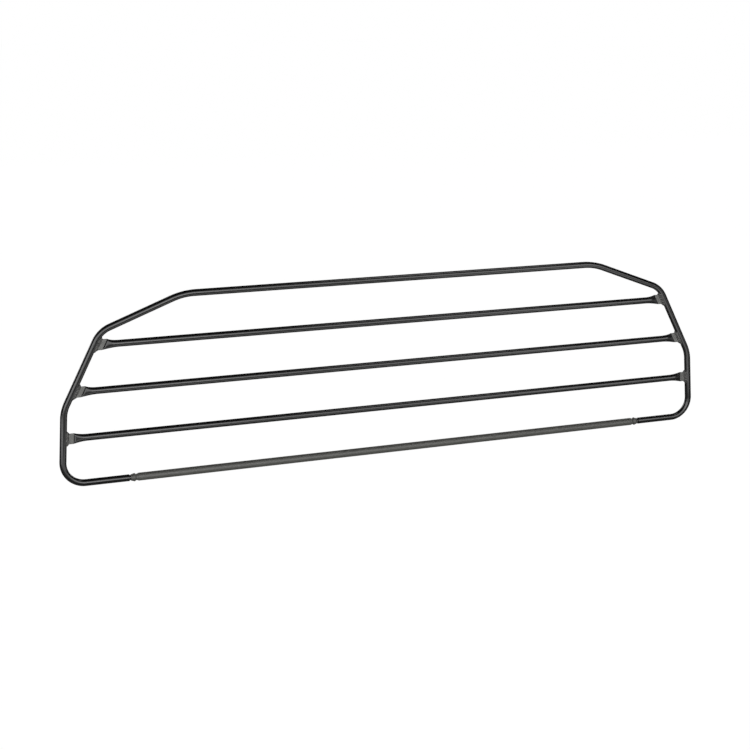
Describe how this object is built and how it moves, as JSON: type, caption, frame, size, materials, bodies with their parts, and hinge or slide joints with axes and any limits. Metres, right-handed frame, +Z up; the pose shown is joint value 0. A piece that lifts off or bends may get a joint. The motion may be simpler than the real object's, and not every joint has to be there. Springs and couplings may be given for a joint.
{
  "type": "folding luggage rack",
  "caption": "Low bent-tube guard with welded crossbars, folding about a straight hinge tube whose rolled ends grip the hoop's stubs.",
  "frame": {"origin": "middle of the hinge tube, on its axis", "axes": "+X along the hinge tube, +Z up with the rack standing upright, +Y square to the rack's plane"},
  "size_m": [1.2466, 0.0148, 0.3314],
  "materials": {
    "rack_coat": "gloss black enamel on steel tube",
    "hinge_tube_coat": "satin dark grey-black coat on steel tube",
    "weld_coat": "satin black coat over weld beads"
  },
  "bodies": {
    "hinge_tube": {"hinge_tube": "hinge_tube_coat"},
    "rack": {"hoop_tube": "rack_coat", "crossbar_lower": "rack_coat", "crossbar_middle": "rack_coat", "crossbar_upper": "rack_coat", "weld_lower_left": "weld_coat", "weld_lower_right": "weld_coat", "weld_middle_left": "weld_coat", "weld_middle_right": "weld_coat", "weld_upper_left": "weld_coat", "weld_upper_right": "weld_coat"}
  },
  "joints": [
    {"name": "fold", "type": "hinge", "parent": "hinge_tube", "child": "rack", "pos_m": [0, 0, 0], "axis": [1, 0, 0], "range_deg": [-90, 90]}
  ]
}
